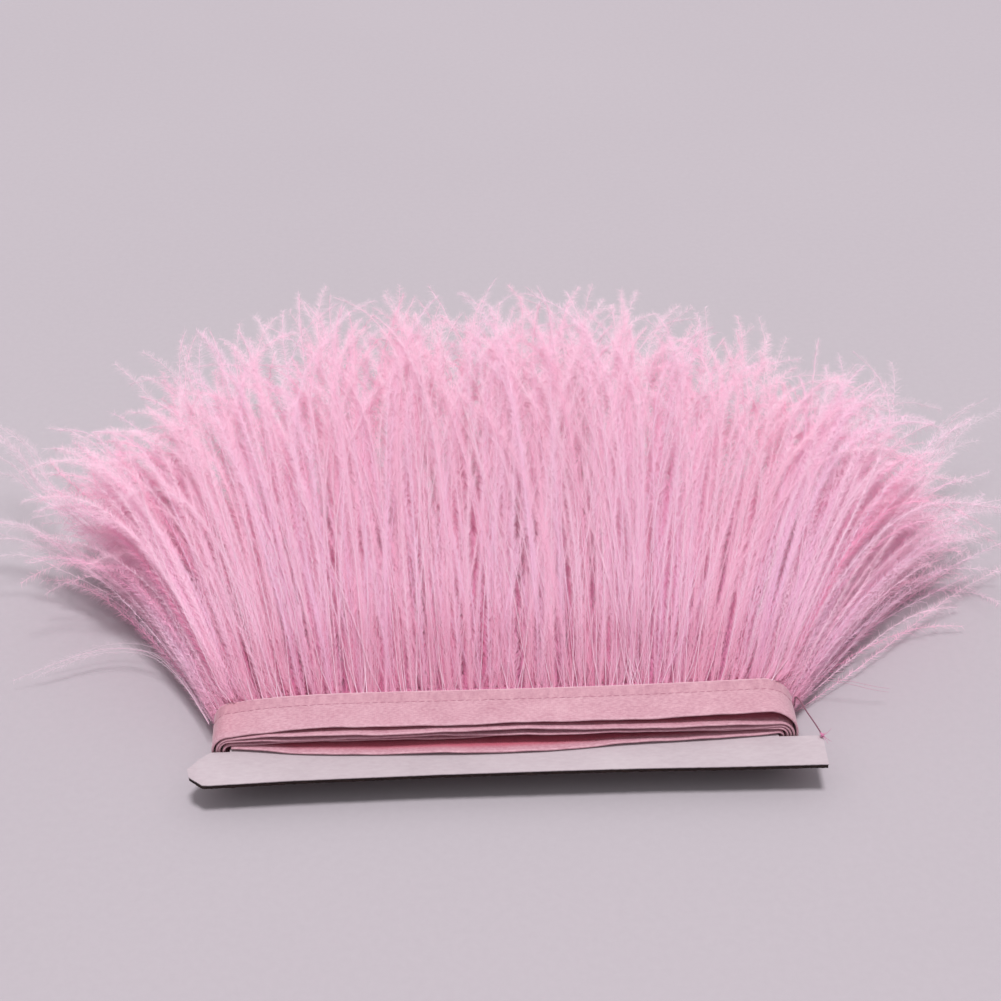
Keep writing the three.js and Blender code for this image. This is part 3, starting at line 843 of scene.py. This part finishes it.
def feather_piece(name, node, V, Fc, U, mat, most=180000):
    """One fringe layer as one or more pieces, cut from left to right, each under the face limit."""
    global TOTAL
    W = pack(V)
    W[:, 0] = np.clip(W[:, 0], -LIMX * MM, LIMX * MM)
    W[:, 1] = np.clip(W[:, 1], LIMY0 * MM, LIMY1 * MM)
    W[:, 2] = np.clip(W[:, 2], .0001, LIMZ * MM)
    e1, e2 = W[Fc[:, 1]] - W[Fc[:, 0]], W[Fc[:, 2]] - W[Fc[:, 0]]
    Fc = Fc[np.linalg.norm(np.cross(e1, e2), axis=1) > 2e-11]
    TOTAL += len(Fc)
    parts = int(math.ceil(len(Fc) / most))
    key = np.argsort(W[Fc[:, 0], 0], kind="stable")
    for i in range(parts):
        fi = Fc[key[i * len(Fc) // parts:(i + 1) * len(Fc) // parts]]
        used, inv = np.unique(fi.ravel(), return_inverse=True)
        nm = name if parts == 1 else name + "_" + "abcdefgh"[i]
        o = fibre_object(nm, W[used], inv.reshape(-1, 3), U[used], [mat])
        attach(o, "coil")
        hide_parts(node)
        print("PIECE", nm, len(fi))


def root_sites(rng, tag, per_mm, cluster):
    """Root positions along one pass, gathered in small bundles of a few flues: x, bundle index."""
    half = 78.0
    nclu = int(2 * half / cluster)
    cx = np.linspace(-half, half, nclu) + rng.normal(0, .35, nclu)
    each = max(1, int(round(per_mm * cluster)))
    x = np.repeat(cx, each) + rng.normal(0, .34, nclu * each)
    return x, np.repeat(np.arange(nclu), each), nclu


PASSES = [  # node, tape pass, lower layer, flues per mm, bundle mm, barbules
    ("fringe_under_4", 13, 0, .9, 2.2, 400), ("fringe_under_3", 12, 1, .9, 2.2, 380),
    ("fringe_under_2", 11, 2, .9, 2.2, 380), ("fringe_under_1", 10, 3, .9, 2.2, 380),
    ("fringe_top_1", 0, 5, .9, 2.2, 420), ("fringe_top_2", 1, 6, .9, 2.2, 460),
    ("fringe_top_3", 2, 7, 1.4, 2.1, 520), ("fringe_top_4", 3, 8, 1.9, 2.4, 800),
    ("fringe_top_5", 4, 9, 2.3, 2.6, 1600)]
REACH = (2.0, 2.5, 3.5, 1.9)
WIDE = (2.3, 2.8, 3.6, 2.1)

for pi, (node, tag, lo, per_mm, cluster, nb) in enumerate(PASSES):
    rng = np.random.default_rng(100 + pi)
    outer = node == "fringe_top_5"
    x0, ci, nclu = root_sites(rng, tag, per_mm, cluster)
    F = len(x0)
    u = np.clip(x0 / 78.0, -1.0, 1.0)
    lean = rng.normal(0, math.radians(3.6), nclu)[ci] + rng.normal(0, math.radians(2.8), F)
    lean = lean + np.where(rng.random(F) < .34, rng.normal(0, math.radians(9.5), F), 0)
    lean = lean * (1 - .5 * np.abs(u) ** 4)
    bend = rng.normal(0, math.radians(14), F) + (lo >= 7) * math.radians(11) * u ** 3
    hook = rng.normal(0, math.radians(34), F) + (lo >= 6) * math.radians(13) * u ** 3
    share = np.where(rng.random(F) < .38, rng.uniform(.66, .95, F), rng.normal(.98, .04, F))
    length = FLUE_L * (1 - .09 * u ** 2 - .05 * np.abs(u) ** 6) * np.clip(share, .6, 1.04)
    j0 = lo + rng.uniform(.1, .9, F)
    dj = rng.normal(0, .5, F) + np.where(rng.random(F) < .2, -rng.uniform(0, 1.5, F), 0)
    if lo >= 7:                                       # near the folds the upper flues sink onto the ones below
        dj = dj - rng.uniform(0, 1, F) * (lo - 5.4) * np.abs(u) ** 7
    if outer:
        j0 = lo + rng.uniform(.35, 1.0, F)
    sag = np.abs(rng.normal(0, 4.0, F)) + np.where(rng.random(F) < .25, rng.uniform(2, 8, F), 0)
    lift = rng.normal(0, 1.6, F)
    z0 = pass_z(tag, x0)
    y0 = 6.6 + tape_shift(x0, np.full(F, tag))
    line = flue_lines(rng, x0 * 1.0, y0, z0, u, j0, length, lean, bend, hook, dj, sag, lift)
    tint = np.clip(rng.beta(1.2, 1.2, nclu)[ci] * .56 + rng.beta(1.1, 1.1, F) * .24, .03, .80)
    V, Fc, U = flue_mesh(rng, line, nb, REACH if lo >= 8 else WIDE, tint, width=.070 if outer else .11,
                         spread=(33, 40, 54), quill_r=.062, pale=.07 if outer else .02)
    feather_piece(node.replace("fringe", "flues"), node, V, Fc, U, FLUE if outer else INNER)

# the longest flues lie loose on top: bare pale quills that cross the others, with full tips
rng = np.random.default_rng(222)
F = 115
x0 = rng.uniform(-77, 77, F)
u = x0 / 78.0
line = flue_lines(rng, x0, 6.6 + tape_shift(x0, np.full(F, 4)), pass_z(4, x0), u, rng.uniform(9.8, 10.25, F),
                  FLUE_L * (1 - .09 * u ** 2) * np.clip(rng.normal(.92, .12, F), .55, 1.04),
                  rng.normal(0, math.radians(11), F) * (1 - .4 * np.abs(u)),
                  rng.normal(0, math.radians(20), F) + math.radians(9) * u ** 3, rng.normal(0, math.radians(40), F), rng.normal(-.1, .25, F), np.abs(rng.normal(0, 4, F)),
                  rng.normal(.4, .8, F))
V, Fc, U = flue_mesh(rng, line, 760, (1.5, 2.1, 3.4, 1.9), rng.uniform(.1, .8, F), width=.068, quill_r=.095, pale=.55,
                     spread=(32, 40, 56))
feather_piece("flues_guard", "fringe_top_5", V, Fc, U, FLUE)

# flues sewn round the folds, which splay past the two ends of the coil
for side_name, tags, sx in (("left", [31, 32, 33, 34], -1), ("right", [20, 21, 22, 23, 24], 1)):
    rng = np.random.default_rng(300 + sx)
    xs, zs = [], []
    for tg in tags:
        sel = np.where(TAGS == tg)[0]
        n = max(8, int((ARC[sel[-1]] - ARC[sel[0]]) * 3.2))
        ss = np.linspace(ARC[sel[0]], ARC[sel[-1]], n)
        xs.append(np.interp(ss, ARC, PATH[:, 0]))
        zs.append(np.interp(ss, ARC, PATH[:, 1]))
    x0, z0 = np.concatenate(xs), np.concatenate(zs)
    n_fill = 64                                        # and the last flues before the fold, between the layers
    n_low = 40 if sx < 0 else 26
    x0 = np.concatenate([x0, sx * rng.uniform(73, 79.5, n_low), sx * rng.uniform(71, 78.5, n_fill)])
    z0 = np.concatenate([z0, rng.uniform(1.5, 9.0, n_low), rng.uniform(12.5, 18.0, n_fill)])
    F = len(x0)
    fill = np.arange(F) >= F - n_fill
    u = np.full(F, 1.0 * sx)
    lean = rng.normal(0, math.radians(4.4), F) - sx * math.radians(3.0)
    bend = rng.normal(0, math.radians(10), F) + fill * sx * math.radians(6)
    hook = rng.normal(0, math.radians(20), F) + fill * sx * math.radians(8)
    length = FLUE_L * .9 * np.clip(rng.normal(.92, .10, F), .6, 1.03)
    j0 = np.clip(np.interp(z0, ROOT_Z, np.arange(11)) + rng.normal(0, .6, F), .3, 9.6)
    dj = rng.normal(0, .5, F) - fill * rng.uniform(0, 2.6, F)
    line = flue_lines(rng, x0, np.full(F, 6.6), z0, u, j0, length, lean, bend, hook, dj,
                      np.abs(rng.normal(0, 4, F)), rng.normal(0, 1.5, F))
    tint = np.clip(rng.beta(2.4, 2, F) * .8, .03, .80)
    V, Fc, U = flue_mesh(rng, line, 560, (1.8, 2.4, 3.6, 2.4), tint, width=.095, quill_r=.065, pale=.15)
    feather_piece("flues_fold_" + side_name, "fringe_top_5", V, Fc, U, FLUE)

# ---------------------------------------------------------------- plumes that stray out of the fringe
STRAYS = {
    "stray_plume_left_low": ([(-84, 8, 8), (-93, 27, 8.8), (-103, 41.5, 8.6), (-111, 45.6, 8.2), (-121, 46, 7.6), (-132, 42.5, 6),
                               (-148, 38, 2.2)], 4, 1.1),
    "stray_plume_left_mid": ([(-110, 60, 14), (-135.5, 84, 17), (-149, 94, 19), (-172, 99, 17)], 8, 3.6),
    "stray_plume_left_back": ([(-125, 85, 24), (-146.5, 112, 27), (-153, 122, 31), (-168, 134, 33)], 8, 3.2),
    "stray_plume_right_low": ([(80, 7, 8), (85, 15, 8.8), (88, 19, 8.9), (94, 19.8, 8.5), (102, 18.6, 7.8), (110, 17.5, 6),
                                (119.5, 17.8, 4)], 2, .3),
    "stray_plume_right_mid": ([(110, 58, 14), (133.5, 80, 17), (148, 90, 19), (172, 97, 16)], 6, 4.0),
    "stray_plume_right_back": ([(125, 85, 24), (146.5, 112, 27), (154, 121, 31), (170, 131, 33)], 8, 3.2)}
for si, (nm, (path, F, wob)) in enumerate(STRAYS.items()):
    rng = np.random.default_rng(500 + si)
    base = centripetal(path, 24)
    d = np.concatenate([[0], np.cumsum(np.linalg.norm(np.diff(base, axis=0), axis=1))])
    lines = []
    for i in range(F):
        Lf = rng.uniform(.8, 1.0) * d[-1]
        q = np.stack([np.interp(TT * Lf, d, base[:, k]) for k in range(3)], 1)
        off = rng.normal(0, wob, 3) * np.array([.6, 1, .5])
        off2 = rng.normal(0, wob * 1.6, 3) * np.array([.7, 1, .5])
        q = q + off * (.35 + TT[:, None]) + off2 * TT[:, None] ** 2.2
        q[:, 2] = np.maximum(q[:, 2], .5)
        lines.append(q)
    line = np.array(lines)
    tint = rng.uniform(.05, .78, F)
    thin = nm == "stray_plume_right_low"
    low = nm == "stray_plume_left_low"
    V, Fc, U = flue_mesh(rng, line, 60 if thin else 200 if low else 420,
                         (.5, .7, .8, .4) if thin else (1.2, 1.8, 2.2, 1.6) if low else (1.8, 2.8, 3.4, 2.0), tint,
                         width=.06, quill_r=.12 if thin else .07, pale=0 if thin else .2)
    feather_piece("wisps_" + nm[12:], nm, V, Fc, U, BARE if thin else FLUFF)
print("FEATHER TRIANGLES", TOTAL)

# ---------------------------------------------------------------- floor and light
fm = Nodes("pale_table")
fv = fm.coord()
fcol = fm.ramp(fm.noise(fv, 3.0, 4, .5), [(.3, (.430, .388, .424)), (.7, (.455, .411, .447))])
fcol = fm.mix(fcol, fm.ramp(fm.noise(fv, 420, 4, .6), [(.3, (.424, .381, .416)), (.7, (.462, .420, .455))]), .35)
fm.set(Base_Color=fcol, Roughness=.78, Specular_IOR_Level=.25, Normal=fm.bump(fm.noise(fv, 520, 4, .6), .08, .0004))
fl = mesh_object("floor", [(-4, -3, 0), (4, -3, 0), (4, 6, 0), (-4, 6, 0)], [(0, 1, 2, 3)], smooth=False)
fl.data.materials.append(fm.mat)

world = bpy.data.worlds.new("studio")
bpy.context.scene.world = world
world.use_nodes = True
wt = world.node_tree
wg = wt.nodes.new("ShaderNodeTexCoord")
wx = wt.nodes.new("ShaderNodeSeparateXYZ")
wr = wt.nodes.new("ShaderNodeValToRGB")
wt.links.new(wg.outputs["Generated"], wx.inputs[0])
wt.links.new(wx.outputs["Z"], wr.inputs["Fac"])
wr.color_ramp.elements[0].color, wr.color_ramp.elements[1].color = (.36, .355, .36, 1), (.72, .709, .72, 1)
wt.links.new(wr.outputs["Color"], wt.nodes["Background"].inputs["Color"])
wt.nodes["Background"].inputs["Strength"].default_value = 1.0

sun = bpy.data.lights.new("key_softbox", "SUN")
sun.energy = 2.38
sun.angle = math.radians(12)
sun.color = (1, .985, .995)
key = bpy.data.objects.new("key_softbox", sun)
bpy.context.scene.collection.objects.link(key)
key.rotation_euler = Vector((-.03, .17, -1)).to_track_quat("-Z", "Y").to_euler()
